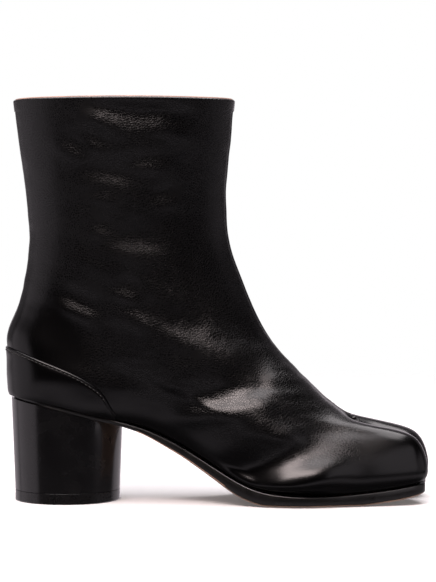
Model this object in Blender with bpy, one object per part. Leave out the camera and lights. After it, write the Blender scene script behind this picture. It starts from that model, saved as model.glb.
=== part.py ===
# Split-toe heeled ankle boot for the right foot, standing empty on its sole.
# Metres, Z up. The toe points along +X and the boot's inner (big-toe) side faces +Y.
# The origin is on the floor at the centre of the heel's round foot.
import math

import bmesh
import bpy
import numpy as np
from mathutils import Vector
from mathutils.geometry import delaunay_2d_cdt

# Overall sizes
TOE_REACH = 0.2045        # heel centre to the tip of the toes
BOOT_RISE = 0.2257        # floor to the top edge of the collar
BALL_WIDTH = 0.086        # widest part of the upper, across the ball
SEAT_RISE = 0.060         # floor to the feather line at the very back
BACK_REACH = 0.031        # heel centre to the shell's back, at the feather line
HEEL_RADIUS = 0.0316      # round heel where it meets the sole

# Leather
WALL = 0.0022             # shell with its lining
GAP = 0.0003              # clearance between neighbouring pieces
BAND_RISE = 0.007         # folded band at the collar
BAND_STEP = 0.0006        # how far the band stands out from the shaft
EDGE_ROUND = 0.0008       # rounding of the collar's top edge
SEAM_DIP = 0.0004         # groove of the front and back seams
COUNTER_SKIN = 0.0009     # heel panel laid over the shell
COUNTER_GAP = 0.0004      # between the curved panel and the shell

# Split toe
CLEFT_GAP = 0.003         # slot between the two toes
CLEFT_ROUND = 0.010       # depth of the rounding at the slot's mouth
CLEFT_PINCH = 0.014       # length over which the mouth opens from the slot's start
CLEFT_END = 0.0022        # rounding at the slot's inner end
CLEFT_AT_CREST = 0.782    # inner end of the slot, share of TOE_REACH
CLEFT_AT_SOLE = 0.797
CLEFT_SIDE = 0.058        # slot's place towards the inner side, share of BALL_WIDTH
BIG_TOE_CREST = 0.186     # crest of each toe from the slot, share of BALL_WIDTH
SMALL_TOE_CREST = 0.233
BIG_TOE_AHEAD = 0.0025    # how far the big toe's tip stands ahead of the others
SEAM_BEND_FROM = 0.58     # where the front seam starts to bend, share of TOE_REACH
SEAM_BEND_OVER = 0.22
WAIST_SIDE = 0.040        # waist bends to the outer side, share of BALL_WIDTH
WAIST_AT = 0.45           # middle of that bend, share of a section's length
WAIST_SPREAD = 0.17
SEAT_ROUND = 0.95         # back radius, share of the half width at the heel

# Sole, insole and heel
SOLE_THICK = 0.0073       # outsole at the ball
SOLE_GAP = 0.0005         # between the outsole and the shell's curved lower edge
SOLE_PROUD = 0.0005       # outsole edge beyond the feather line
SOLE_CHAMFER = 0.0010     # bevel along the top corner of its edge
EDGE_LIFT = 0.0013        # tread turned up at the edge of the forefoot
EDGE_ROLL = 0.0060        # width over which the tread turns up
INSOLE_THICK = 0.0020
INSOLE_PLAY = 0.0009      # insole's edge inside the shell
HEEL_FOOT_RADIUS = 0.0296 # round heel at the floor
HEEL_ACROSS = 0.955       # heel's width against its length, at the sole
LIFT_THICK = 0.0060       # top lift under the heel
LIFT_BEVEL = 0.0006

# Red, green, blue and roughness of each material
UPPER_LOOK = (0.012, 0.012, 0.013, 0.30)
COUNTER_LOOK = (0.012, 0.012, 0.013, 0.28)
OUTSOLE_LOOK = (0.016, 0.014, 0.013, 0.35)
INSOLE_LOOK = (0.520, 0.360, 0.250, 0.60)
HEEL_LOOK = (0.010, 0.010, 0.010, 0.22)
LIFT_LOOK = (0.014, 0.013, 0.012, 0.55)

# Sampling of the surfaces
CORNER = 0.7              # edges that turn more than this stay sharp, in radians
SIDE_COLUMNS = 22         # from the back seam to a toe's tip
SLOT_COLUMNS = 8          # from a toe's tip to the end of the slot
SOLE_SLOT_COLUMNS = 14
SOLE_SIDE_COLUMNS = 46    # finer along the sole, which has to lie on its neighbours
HEEL_COLUMNS = 40
CAP_SHARES = (0.2, 0.5, 0.8)  # points across a piece's upper and lower face
CAP_REACH = 0.74          # how far forward they go, short of the slot
COUNTER_COLUMNS = 15      # from the back seam to the panel's front
COUNTER_ROWS = 6
COUNTER_CUTS = 160        # columns and levels from which its outline is picked
COUNTER_LEVELS = 55

# Sections of the shell from the feather line to the collar.
# Reaches are shares of TOE_REACH (front) and BACK_REACH (back), rises are shares
# of BOOT_RISE and half widths are shares of BALL_WIDTH, measured at four stations.
# "sag" is how much of the sole's curve a section keeps, "toes" how far apart the
# crests of its two toes are.
SECTION_COLUMNS = ("front", "front_rise", "back", "back_rise", "sag",
                   "heel", "waist", "ball", "toe", "toes")
SECTIONS = (
    (0.980, 0.055, 0.981, 0.266, 1.00, 0.341, 0.273, 0.471, 0.401, 1.00),
    (0.990, 0.077, 1.016, 0.292, 0.93, 0.349, 0.308, 0.494, 0.424, 1.00),
    (0.987, 0.106, 1.035, 0.319, 0.85, 0.352, 0.331, 0.500, 0.424, 1.00),
    (0.977, 0.135, 1.052, 0.341, 0.77, 0.352, 0.347, 0.488, 0.403, 1.00),
    (0.957, 0.161, 1.071, 0.363, 0.68, 0.349, 0.356, 0.474, 0.374, 1.00),
    (0.919, 0.178, 1.090, 0.383, 0.58, 0.344, 0.360, 0.452, 0.351, 0.97),
    (0.856, 0.193, 1.097, 0.403, 0.48, 0.337, 0.363, 0.436, 0.346, 0.85),
    (0.797, 0.207, 1.071, 0.423, 0.39, 0.329, 0.366, 0.424, 0.342, 0.62),
    (0.748, 0.229, 1.023, 0.442, 0.31, 0.321, 0.369, 0.411, 0.331, 0.45),
    (0.694, 0.271, 0.932, 0.471, 0.22, 0.312, 0.374, 0.395, 0.308, 0.33),
    (0.636, 0.323, 0.839, 0.507, 0.14, 0.305, 0.378, 0.374, 0.277, 0.25),
    (0.577, 0.381, 0.781, 0.544, 0.08, 0.300, 0.382, 0.361, 0.254, 0.20),
    (0.523, 0.460, 0.717, 0.593, 0.03, 0.298, 0.387, 0.352, 0.238, 0.17),
    (0.474, 0.566, 0.682, 0.659, 0.00, 0.295, 0.393, 0.349, 0.230, 0.17),
    (0.443, 0.664, 0.706, 0.712, 0.00, 0.294, 0.398, 0.352, 0.230, 0.17),
    (0.438, 0.779, 0.768, 0.792, 0.00, 0.302, 0.412, 0.366, 0.238, 0.16),
    (0.449, 0.894, 0.872, 0.896, 0.00, 0.316, 0.434, 0.387, 0.254, 0.15),
    (0.460, 1.000, 0.968, 1.000, 0.00, 0.331, 0.459, 0.410, 0.274, 0.15),
)
STATION_SHARES = (("heel", 0.15), ("waist", 0.45), ("ball", 0.72), ("toe", 0.90))

# Feather line, where the upper meets the sole: place along the boot as a share of
# TOE_REACH, rise as a share of SEAT_RISE, outsole thickness as a share of SOLE_THICK.
SOLE_COLUMNS = ("along", "rise", "thick")
SOLE_LINE = (
    (-0.160, 1.000, 0.27),
    (-0.018, 0.902, 0.27),
    (0.091, 0.820, 0.27),
    (0.161, 0.766, 0.30),
    (0.222, 0.703, 0.45),
    (0.270, 0.633, 0.64),
    (0.318, 0.548, 0.75),
    (0.367, 0.448, 0.86),
    (0.416, 0.345, 0.98),
    (0.465, 0.247, 1.12),
    (0.515, 0.170, 1.12),
    (0.599, 0.120, 1.05),
    (0.682, 0.108, 1.00),
    (0.766, 0.115, 1.00),
    (0.849, 0.140, 0.96),
    (0.935, 0.180, 0.92),
    (1.000, 0.221, 0.84),
)

# Top edge of the heel panel: share of TOE_REACH along, share of SEAT_RISE up.
COUNTER_EDGE_COLUMNS = ("along", "rise")
COUNTER_EDGE = (
    (-0.180, 1.455),
    (-0.125, 1.413),
    (-0.089, 1.370),
    (-0.004, 1.260),
    (0.063, 1.150),
    (0.095, 1.077),
    (0.116, 1.002),
    (0.134, 0.890),
    (0.150, 0.820),
)
COUNTER_FRONT = 0.140     # front end of the heel panel, share of TOE_REACH
COUNTER_TOP_ROW = 9.0     # row of SECTIONS that clears its top edge

SLOT_LEVEL = 7.0          # row of SECTIONS at which the slot starts
CREST_ROWS = (2.0, 13.0)  # rows whose fronts make the crest of the vamp and toes

# Shell sections that are sampled, counted in rows of SECTIONS.
SHELL_LEVELS = (0, 0.5, 1, 1.5, 2, 2.5, 3, 3.5, 4, 4.5, 5, 5.5, 6, 6.4, 6.8, 7.2,
                7.6, 8, 8.5, 9, 9.5, 10, 11, 12, 12.5, 13, 13.5, 14, 15, 16)


def column(rows, names, name):
    """Values of one named column."""
    return np.array([row[names.index(name)] for row in rows], dtype=float)


def curve(knots, values):
    """Smooth curve through the knots with free ends."""
    x = np.asarray(knots, dtype=float)
    y = np.asarray(values, dtype=float)
    n = len(x)
    h = np.diff(x)
    system = np.zeros((n, n))
    right = np.zeros(n)
    system[0, 0] = system[-1, -1] = 1.0
    for i in range(1, n - 1):
        system[i, i - 1] = h[i - 1]
        system[i, i] = 2.0 * (h[i - 1] + h[i])
        system[i, i + 1] = h[i]
        right[i] = 6.0 * ((y[i + 1] - y[i]) / h[i] - (y[i] - y[i - 1]) / h[i - 1])
    bend = np.linalg.solve(system, right)

    def at(q):
        q = np.clip(np.asarray(q, dtype=float), x[0], x[-1])
        k = np.clip(np.searchsorted(x, q, side="right") - 1, 0, n - 2)
        a = (x[k + 1] - q) / h[k]
        b = 1.0 - a
        return (a * y[k] + b * y[k + 1]
                + ((a ** 3 - a) * bend[k] + (b ** 3 - b) * bend[k + 1]) * h[k] ** 2 / 6.0)

    return at


def ease(q):
    """Smooth step from 0 to 1."""
    q = np.clip(q, 0.0, 1.0)
    return q * q * (3.0 - 2.0 * q)


ROW = np.arange(len(SECTIONS))
SECTION = {name: curve(ROW, column(SECTIONS, SECTION_COLUMNS, name))
           for name in SECTION_COLUMNS}
ALONG = column(SOLE_LINE, SOLE_COLUMNS, "along") * TOE_REACH
FEATHER = curve(ALONG, column(SOLE_LINE, SOLE_COLUMNS, "rise") * SEAT_RISE)
THICK = curve(ALONG, column(SOLE_LINE, SOLE_COLUMNS, "thick") * SOLE_THICK)
COUNTER_TOP = curve(column(COUNTER_EDGE, COUNTER_EDGE_COLUMNS, "along") * TOE_REACH,
                    column(COUNTER_EDGE, COUNTER_EDGE_COLUMNS, "rise") * SEAT_RISE)


def section(level):
    """Sizes of the shell's section at a level, in metres."""
    got = {name: float(at(level)) for name, at in SECTION.items()}
    got["front"] *= TOE_REACH
    got["back"] *= -BACK_REACH
    got["front_rise"] *= BOOT_RISE
    got["back_rise"] *= BOOT_RISE
    for name, _ in STATION_SHARES:
        got[name] *= BALL_WIDTH
    return got


CREST = [section(level) for level in np.linspace(CREST_ROWS[1], CREST_ROWS[0], 120)]
CREST_X = np.array([size["front"] for size in CREST])
CREST_Z = np.array([size["front_rise"] for size in CREST])
FLOOR_SECTION = section(0.0)


def crest_rise(x):
    """Rise of the vamp's crest above a place along the boot."""
    return np.interp(x, CREST_X, CREST_Z)


def rise(size, x):
    """Height of a section at a place along the boot."""
    def line(s, share):
        return s["back_rise"] + (s["front_rise"] - s["back_rise"]) * share
    share = (x - size["back"]) / (size["front"] - size["back"])
    floor = FLOOR_SECTION
    sole_x = floor["back"] + (floor["front"] - floor["back"]) * share
    return line(size, share) + size["sag"] * (FEATHER(sole_x) - line(floor, share))


def middle(size, x):
    """Centre line of a section: straight in the shaft, towards the slot at the toes."""
    share = (x - size["back"]) / (size["front"] - size["back"])
    to_slot = ease((x / TOE_REACH - SEAM_BEND_FROM) / SEAM_BEND_OVER) * CLEFT_SIDE
    waist = size["sag"] * WAIST_SIDE * np.exp(-((share - WAIST_AT) / WAIST_SPREAD) ** 2)
    return (to_slot - waist) * BALL_WIDTH


def ring(level, side_columns=SIDE_COLUMNS, slot_columns=SLOT_COLUMNS):
    """Closed section of the shell, from the back seam round the outer side."""
    size = section(level)
    length = size["front"] - size["back"]
    low = 1.0 - min(level / SLOT_LEVEL, 1.0)
    slot_end = TOE_REACH * (CLEFT_AT_CREST + (CLEFT_AT_SOLE - CLEFT_AT_CREST) * low)
    depth = max(size["front"] - slot_end, 0.0)
    split = float(ease(depth / CLEFT_ROUND))
    half = CLEFT_GAP / 2.0
    turn = np.linspace(0.0, math.pi, side_columns + 1)
    share = (1.0 - np.cos(turn)) / 2.0
    step = np.linspace(0.0, 1.0, slot_columns + 1)[1:]
    back_by = depth * (1.0 - np.cos(math.pi * step)) / 2.0
    x = np.concatenate([size["back"] + length * share, size["front"] - back_by])
    z = rise(size, x)
    mid = middle(size, x)
    below = np.maximum(crest_rise(x) - z, 0.0)[side_columns + 1:]
    inside = back_by * below / np.sqrt(back_by ** 2 + below ** 2 + 1e-12)
    q = 1.0 - np.clip(inside / CLEFT_ROUND, 0.0, 1.0)
    pinch = 1.0 - (1.0 - ease((depth - back_by) / CLEFT_PINCH)) * (1.0 - q ** 4)
    flare = (1.0 - np.sqrt(1.0 - q * q)) * pinch
    closing = np.clip((back_by - depth + CLEFT_END) / CLEFT_END, 0.0, 1.0)
    closing = np.sqrt(np.maximum(1.0 - closing * closing, 0.0))
    toe_share = ease((x - slot_end) / (TOE_REACH - slot_end))
    sides = []
    for sign, crest, ahead in ((-1.0, SMALL_TOE_CREST, 0.0),
                               (1.0, BIG_TOE_CREST, BIG_TOE_AHEAD)):
        crest = crest * BALL_WIDTH * size["toes"]
        full = [math.sqrt(SEAT_ROUND * size["heel"] * length / 2.0)]
        for name, place in STATION_SHARES:
            wave = 2.0 * math.sqrt(place * (1.0 - place))
            full.append((size[name] - crest * place ** 4) / wave)
        full.append(full[-1])
        places = [0.0] + [place for _, place in STATION_SHARES] + [1.0]
        spread = curve(places, full)(share)
        width = np.sin(turn) * spread + crest * share ** 4
        slot = (half + (crest - half) * flare) * closing
        plain = crest * (1.0 - step)
        slot = plain + (slot - plain) * split
        y = mid + sign * np.concatenate([width, slot])
        sides.append(np.stack([x + ahead * split * toe_share, y, z], axis=1))
    outer, inner = sides
    return np.concatenate([outer, inner[1:-1][::-1]])


def plan_normals(loop):
    """Outward directions of a closed loop, seen from above."""
    along = np.roll(loop, -1, axis=0) - np.roll(loop, 1, axis=0)
    out = np.stack([along[:, 1], -along[:, 0]], axis=1)
    return out / np.linalg.norm(out, axis=1)[:, None]


def grown(loop, by):
    """Loop moved outwards in plan; its rises follow the sole."""
    new = loop.copy()
    new[:, :2] += plan_normals(loop) * by
    return new


def shell_normals(rings):
    """Outward directions on a stack of rings."""
    up = np.gradient(rings, axis=0)
    along = np.roll(rings, -1, axis=1) - np.roll(rings, 1, axis=1)
    out = np.cross(along, up)
    return out / np.linalg.norm(out, axis=2)[:, :, None]


def make(name, points, faces, look):
    """One closed piece with its own material, shaded smooth between its corners."""
    mesh = bpy.data.meshes.new(name)
    mesh.from_pydata([tuple(float(v) for v in p) for p in points], [], faces)
    mesh.validate()
    mesh.update()
    obj = bpy.data.objects.new(name, mesh)
    bpy.context.scene.collection.objects.link(obj)
    mat = bpy.data.materials.new(name)
    mat.use_nodes = True
    shader = mat.node_tree.nodes["Principled BSDF"]
    shader.inputs["Base Color"].default_value = (*look[:3], 1.0)
    shader.inputs["Roughness"].default_value = look[3]
    mesh.materials.append(mat)
    shaped = bmesh.new()
    shaped.from_mesh(mesh)
    for face in shaped.faces:
        face.smooth = True
    for edge in shaped.edges:
        edge.smooth = edge.calc_face_angle(0.0) < CORNER
    shaped.to_mesh(mesh)
    shaped.free()
    return obj


def stack_faces(loops, count):
    """Side faces between neighbouring loops of one stack, listed bottom to top."""
    faces = []
    for i in range(loops - 1):
        for j in range(count):
            k = (j + 1) % count
            faces.append([i * count + j, i * count + k,
                          (i + 1) * count + k, (i + 1) * count + j])
    return faces


def cap(loop, at, start, extra, upward):
    """Points inside a loop, level across the boot, and the faces that close it."""
    count = len(loop)
    inside = []
    for j in range(1, count // 2):
        one, other = loop[j], loop[-j]
        if max(one[0], other[0]) > CAP_REACH * TOE_REACH:
            continue
        for share in CAP_SHARES:
            x, y = (one + (other - one) * share)[:2]
            inside.append((x, y, float(at(x))))
    flat = [Vector((p[0], p[1])) for p in list(loop) + inside]
    edges = [(j, (j + 1) % count) for j in range(count)]
    _, _, tris, source, _, _ = delaunay_2d_cdt(flat, edges, [], 1, 1e-9)
    faces = []
    for tri in tris:
        kept = [source[v][0] for v in tri]
        face = [start + v if v < count else extra + v - count for v in kept]
        faces.append(face if upward else face[::-1])
    return inside, faces


def plate(name, loops, ends, look):
    """Closed piece from loops listed bottom to top; ends give the rise of its faces."""
    count = len(loops[0])
    points = [tuple(p) for loop in loops for p in loop]
    faces = stack_faces(len(loops), count)
    last = (len(loops) - 1) * count
    for loop, at, start, upward in ((loops[0], ends[0], 0, False),
                                    (loops[-1], ends[1], last, True)):
        inside, closing = cap(loop, at, start, len(points), upward)
        points += inside
        faces += closing
    return make(name, points, faces, look)


def seam_dip(count):
    """Depth of the seam groove for each column of a ring."""
    dip = np.zeros(count)
    dip[0] = SEAM_DIP
    dip[count // 2] = SEAM_DIP
    return dip


def upper():
    """Hollow shell with its folded collar, open at the top and under the foot."""
    top = len(SECTIONS) - 1.0
    last_rise = BOOT_RISE - section(top - 1.0)["front_rise"]
    band_level = top - BAND_RISE / last_rise
    step = 0.5 * BAND_STEP / last_rise
    levels = list(SHELL_LEVELS)
    levels += [band_level - step, band_level + step, top - EDGE_ROUND / last_rise]
    base = np.array([ring(level) for level in levels])
    out = shell_normals(base)
    rows, count = base.shape[:2]
    inner = base - out * WALL
    inner[0][:, 2] = FEATHER(inner[0][:, 0])
    outer = base.copy()
    outer[-2:] += out[-2:] * BAND_STEP
    outer[1:-2] -= out[1:-2] * seam_dip(count)[None, :, None]
    crown_out = outer[-1] - out[-1] * EDGE_ROUND
    crown_in = inner[-1] + out[-1] * EDGE_ROUND
    crown_out[:, 2] = crown_in[:, 2] = BOOT_RISE
    shell = np.concatenate([outer.reshape(-1, 3), crown_out, crown_in,
                            inner[::-1].reshape(-1, 3)])
    loops = 2 * rows + 2
    faces = stack_faces(loops, count)
    last = (loops - 1) * count
    for j in range(count):
        k = (j + 1) % count
        faces.append([last + j, last + k, k, j])
    return make("upper", shell, faces, UPPER_LOOK)


def counter():
    """Heel panel over the back of the shell, cut to its top edge."""
    front = COUNTER_FRONT * TOE_REACH
    fine = np.array([ring(level, COUNTER_CUTS)
                     for level in np.linspace(0.0, COUNTER_TOP_ROW, COUNTER_LEVELS)])
    out = shell_normals(fine)
    side = [j for j in range(COUNTER_CUTS) if fine[0][j][0] < front]
    picks = np.linspace(0, len(side) - 1, COUNTER_COLUMNS).round().astype(int)
    around = [-side[p] for p in picks[::-1]] + [side[p] for p in picks[1:]]
    skins = []
    for off in (COUNTER_GAP, COUNTER_GAP + COUNTER_SKIN):
        grid = []
        for j in around:
            line = fine[:, j] + out[:, j] * off
            under = COUNTER_TOP(line[:, 0]) - line[:, 2]
            stop = int(np.argmax(under < 0.0))
            part = under[stop - 1] / (under[stop - 1] - under[stop])
            at = np.linspace(0.0, stop - 1 + part, COUNTER_ROWS)
            steps = np.arange(len(line))
            grid.append(np.stack([np.interp(at, steps, line[:, a]) for a in range(3)],
                                 axis=1))
        skins.append(np.array(grid))
    columns = len(around)
    points = np.concatenate([skin.reshape(-1, 3) for skin in skins])

    def at(skin, i, j):
        return skin * columns * COUNTER_ROWS + i * COUNTER_ROWS + j

    faces = []
    for i in range(columns - 1):
        for j in range(COUNTER_ROWS - 1):
            quad = [(i, j), (i + 1, j), (i + 1, j + 1), (i, j + 1)]
            faces.append([at(1, *q) for q in quad])
            faces.append([at(0, *q) for q in quad[::-1]])
    rim = [(i, 0) for i in range(columns)]
    rim += [(columns - 1, j) for j in range(1, COUNTER_ROWS)]
    rim += [(i, COUNTER_ROWS - 1) for i in range(columns - 2, -1, -1)]
    rim += [(0, j) for j in range(COUNTER_ROWS - 2, 0, -1)]
    for a, b in zip(rim, rim[1:] + rim[:1]):
        faces.append([at(1, *b), at(1, *a), at(0, *a), at(0, *b)])
    return make("counter", points, faces, COUNTER_LOOK)


def tread(x):
    """Underside of the outsole along its middle, flat on the floor at the ball."""
    return np.maximum(FEATHER(x) - SOLE_GAP - THICK(x), 0.0)


def level_loop(loop, at):
    """Loop laid at the rises that a function gives along the boot."""
    new = loop.copy()
    new[:, 2] = at(new[:, 0])
    return new


def outsole():
    """Leather sole to the feather line's outline, bevelled above, turned up below."""
    outline = grown(ring(0.0, SOLE_SIDE_COLUMNS, SOLE_SLOT_COLUMNS), SOLE_PROUD)

    def top(x):
        return FEATHER(x) - SOLE_GAP

    def lift(x):
        return EDGE_LIFT * ease((x - HEEL_RADIUS) / (2.0 * HEEL_RADIUS))

    def edge_low(x):
        return tread(x) + lift(x)

    def edge_mid(x):
        return tread(x) + 0.5 * lift(x)

    def edge_high(x):
        return np.maximum(top(x) - SOLE_CHAMFER, edge_low(x) + 0.5 * SOLE_CHAMFER)

    loops = [
        level_loop(grown(outline, -EDGE_ROLL), tread),
        level_loop(grown(outline, -EDGE_LIFT), edge_mid),
        level_loop(outline, edge_low),
        level_loop(outline, edge_high),
        level_loop(grown(outline, -SOLE_CHAMFER), top),
    ]
    return plate("outsole", loops, (tread, top), OUTSOLE_LOOK)


def insole():
    """Thin sole inside the shell's lower opening."""
    outline = grown(ring(0.0, SOLE_SIDE_COLUMNS, SOLE_SLOT_COLUMNS),
                    -(WALL + INSOLE_PLAY))

    def top(x):
        return FEATHER(x) + INSOLE_THICK

    loops = [level_loop(outline, FEATHER), level_loop(outline, top)]
    return plate("insole", loops, (FEATHER, top), INSOLE_LOOK)


def heel_loop(radius, across, at):
    """Round loop of the heel."""
    turn = np.linspace(math.pi, 3.0 * math.pi, HEEL_COLUMNS, endpoint=False)
    x = np.cos(turn) * radius
    y = np.sin(turn) * radius * across
    return np.stack([x, y, at(x)], axis=1)


def heel():
    """Round heel, cut above to the underside of the outsole."""
    def foot(x):
        return x * 0.0 + LIFT_THICK + GAP

    def seat(x):
        return tread(x) - GAP

    loops = [heel_loop(HEEL_FOOT_RADIUS, 1.0, foot),
             heel_loop(HEEL_RADIUS, HEEL_ACROSS, seat)]
    return plate("heel", loops, (foot, seat), HEEL_LOOK)


def top_lift():
    """Wearing piece under the heel."""
    def flat(rise_by):
        return lambda x: x * 0.0 + rise_by
    loops = [heel_loop(HEEL_FOOT_RADIUS - LIFT_BEVEL, 1.0, flat(0.0)),
             heel_loop(HEEL_FOOT_RADIUS, 1.0, flat(LIFT_BEVEL)),
             heel_loop(HEEL_FOOT_RADIUS, 1.0, flat(LIFT_THICK))]
    return plate("top_lift", loops, (flat(0.0), flat(LIFT_THICK)), LIFT_LOOK)


for old in list(bpy.data.objects):
    bpy.data.objects.remove(old, do_unlink=True)

upper()
counter()
insole()
outsole()
heel()
top_lift()
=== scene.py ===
# Looks of a split-toe heeled ankle boot for the right foot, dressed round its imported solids.
# Metres, Z up; the toe points along +X, the big-toe side faces +Y, the floor is at z = 0.
import math

import bpy
import numpy as np
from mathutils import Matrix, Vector, noise
from mathutils.geometry import delaunay_2d_cdt


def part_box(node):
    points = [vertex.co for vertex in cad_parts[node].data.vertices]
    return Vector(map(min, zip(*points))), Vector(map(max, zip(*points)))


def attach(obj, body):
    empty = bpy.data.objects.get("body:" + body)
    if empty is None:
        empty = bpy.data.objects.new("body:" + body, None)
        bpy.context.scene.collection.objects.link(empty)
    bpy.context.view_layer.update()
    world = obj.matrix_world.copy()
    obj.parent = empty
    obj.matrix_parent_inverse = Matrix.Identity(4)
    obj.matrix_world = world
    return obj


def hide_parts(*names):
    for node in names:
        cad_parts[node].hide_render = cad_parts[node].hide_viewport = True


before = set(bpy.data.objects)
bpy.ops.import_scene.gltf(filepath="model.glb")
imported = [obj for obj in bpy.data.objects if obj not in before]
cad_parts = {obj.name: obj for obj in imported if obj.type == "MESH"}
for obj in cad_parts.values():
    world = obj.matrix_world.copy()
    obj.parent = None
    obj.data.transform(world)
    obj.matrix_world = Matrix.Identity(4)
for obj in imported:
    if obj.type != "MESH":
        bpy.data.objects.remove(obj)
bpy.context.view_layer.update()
print("frame loaded:", ", ".join(sorted(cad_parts)))

# The last that the upper was pulled over
last = {
    "toeReach": 0.2045,  # heel centre to the tip of the toes
    "bootRise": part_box("upper")[1].z,  # floor to the collar's top edge
    "ballWidth": 0.086,
    "seatRise": 0.060,  # feather line at the very back
    "backReach": 0.031,
    "wall": 0.0022,  # leather and lining together
    "seatRound": 0.95,
    "waistSide": 0.040,  # bend of the waist to the outer side
    "waistAt": 0.45,
    "waistSpread": 0.17,
    "seamBend": (0.58, 0.22),  # where the front seam runs over to the cleft
}
cleft = {
    "gap": 0.003,
    "round": 0.010,  # rounding at the mouth of the cleft
    "pinch": 0.014,  # its mouth narrows this close to the inner end
    "end": 0.0022,  # rounding of the inner end
    "atCrest": 0.782,  # inner end, share of toeReach
    "atSole": 0.797,
    "side": 0.058,  # towards the big toe, share of ballWidth
    "bigToeCrest": 0.186,
    "smallToeCrest": 0.233,
    "bigToeAhead": 0.0025,
    "startLevel": 7.0,  # section where the inner end is at atCrest
    "dipOver": 0.020,  # the dips beside it fade out this far down
    "dipFrom": 0.0030,  # and begin this far from the seam
    "crestLevels": (13.0, 2.0),  # sections whose fronts draw the crest
}

# Sections of the shell from the feather line to the collar, as shares of the last's sizes
sectionColumns = ("front", "frontRise", "back", "backRise", "sag",
                  "heel", "waist", "ball", "toe", "toes")
sections = (
    (0.980, 0.055, 0.981, 0.266, 1.00, 0.341, 0.273, 0.471, 0.401, 1.00),
    (0.990, 0.077, 1.016, 0.292, 0.93, 0.349, 0.308, 0.494, 0.424, 1.00),
    (0.987, 0.106, 1.035, 0.319, 0.85, 0.352, 0.331, 0.500, 0.424, 1.00),
    (0.977, 0.135, 1.052, 0.341, 0.77, 0.352, 0.347, 0.488, 0.403, 1.00),
    (0.957, 0.161, 1.071, 0.363, 0.68, 0.349, 0.356, 0.474, 0.374, 1.00),
    (0.919, 0.178, 1.090, 0.383, 0.58, 0.344, 0.360, 0.452, 0.351, 0.97),
    (0.856, 0.193, 1.097, 0.403, 0.48, 0.337, 0.363, 0.436, 0.346, 0.85),
    (0.797, 0.207, 1.071, 0.423, 0.39, 0.329, 0.366, 0.424, 0.342, 0.62),
    (0.748, 0.229, 1.023, 0.442, 0.31, 0.321, 0.369, 0.411, 0.331, 0.45),
    (0.694, 0.271, 0.932, 0.471, 0.22, 0.312, 0.374, 0.395, 0.308, 0.33),
    (0.636, 0.323, 0.839, 0.507, 0.14, 0.305, 0.378, 0.374, 0.277, 0.25),
    (0.577, 0.381, 0.781, 0.544, 0.08, 0.300, 0.382, 0.361, 0.254, 0.20),
    (0.523, 0.460, 0.717, 0.593, 0.03, 0.298, 0.387, 0.352, 0.238, 0.17),
    (0.474, 0.566, 0.682, 0.659, 0.00, 0.295, 0.393, 0.349, 0.230, 0.17),
    (0.443, 0.664, 0.706, 0.712, 0.00, 0.294, 0.398, 0.352, 0.230, 0.17),
    (0.438, 0.779, 0.768, 0.792, 0.00, 0.302, 0.412, 0.366, 0.238, 0.16),
    (0.449, 0.894, 0.872, 0.896, 0.00, 0.316, 0.434, 0.387, 0.254, 0.15),
    (0.460, 1.000, 0.968, 1.000, 0.00, 0.331, 0.459, 0.410, 0.274, 0.15),
)
stationShares = (("heel", 0.15), ("waist", 0.45), ("ball", 0.72), ("toe", 0.90))

# Feather line and thickness of the outsole along the boot
soleColumns = ("along", "rise", "thick")
soleLine = (
    (-0.160, 1.014, 0.27),
    (-0.018, 0.920, 0.27),
    (0.091, 0.824, 0.27),
    (0.161, 0.766, 0.30),
    (0.222, 0.703, 0.45),
    (0.270, 0.633, 0.64),
    (0.318, 0.548, 0.75),
    (0.367, 0.448, 0.86),
    (0.416, 0.345, 0.98),
    (0.465, 0.247, 1.12),
    (0.515, 0.170, 1.12),
    (0.599, 0.120, 1.05),
    (0.682, 0.108, 1.00),
    (0.766, 0.115, 1.00),
    (0.849, 0.140, 0.96),
    (0.935, 0.180, 0.92),
    (1.000, 0.221, 0.84),
)


def columnOf(rows, names, name):
    return np.array([row[names.index(name)] for row in rows], dtype=float)


def curveThrough(knots, values):
    # natural cubic through the knots
    x = np.asarray(knots, dtype=float)
    y = np.asarray(values, dtype=float)
    n = len(x)
    h = np.diff(x)
    system = np.zeros((n, n))
    right = np.zeros(n)
    system[0, 0] = system[-1, -1] = 1.0
    for i in range(1, n - 1):
        system[i, i - 1] = h[i - 1]
        system[i, i] = 2.0 * (h[i - 1] + h[i])
        system[i, i + 1] = h[i]
        right[i] = 6.0 * ((y[i + 1] - y[i]) / h[i] - (y[i] - y[i - 1]) / h[i - 1])
    bend = np.linalg.solve(system, right)

    def at(q):
        q = np.clip(np.asarray(q, dtype=float), x[0], x[-1])
        k = np.clip(np.searchsorted(x, q, side="right") - 1, 0, n - 2)
        a = (x[k + 1] - q) / h[k]
        b = 1.0 - a
        return (a * y[k] + b * y[k + 1]
                + ((a ** 3 - a) * bend[k] + (b ** 3 - b) * bend[k + 1]) * h[k] ** 2 / 6.0)

    return at


def ease(q):
    q = np.clip(q, 0.0, 1.0)
    return q * q * (3.0 - 2.0 * q)


def ramp(q, span):
    # rises from 0 to 1, span says from where and over what length
    return ease((q - span[0]) / span[1])


def bell(q):
    return np.exp(-q * q)


def between(low, high, share):
    return low + (high - low) * share


rowNumbers = np.arange(len(sections))
sectionCurves = {name: curveThrough(rowNumbers, columnOf(sections, sectionColumns, name))
                 for name in sectionColumns}
soleAlong = columnOf(soleLine, soleColumns, "along") * last["toeReach"]
featherRise = curveThrough(soleAlong, columnOf(soleLine, soleColumns, "rise") * last["seatRise"])


def sectionAt(level):
    size = {name: float(at(level)) for name, at in sectionCurves.items()}
    size["front"] *= last["toeReach"]
    size["back"] *= -last["backReach"]
    size["frontRise"] *= last["bootRise"]
    size["backRise"] *= last["bootRise"]
    for name, _ in stationShares:
        size[name] *= last["ballWidth"]
    return size


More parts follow.
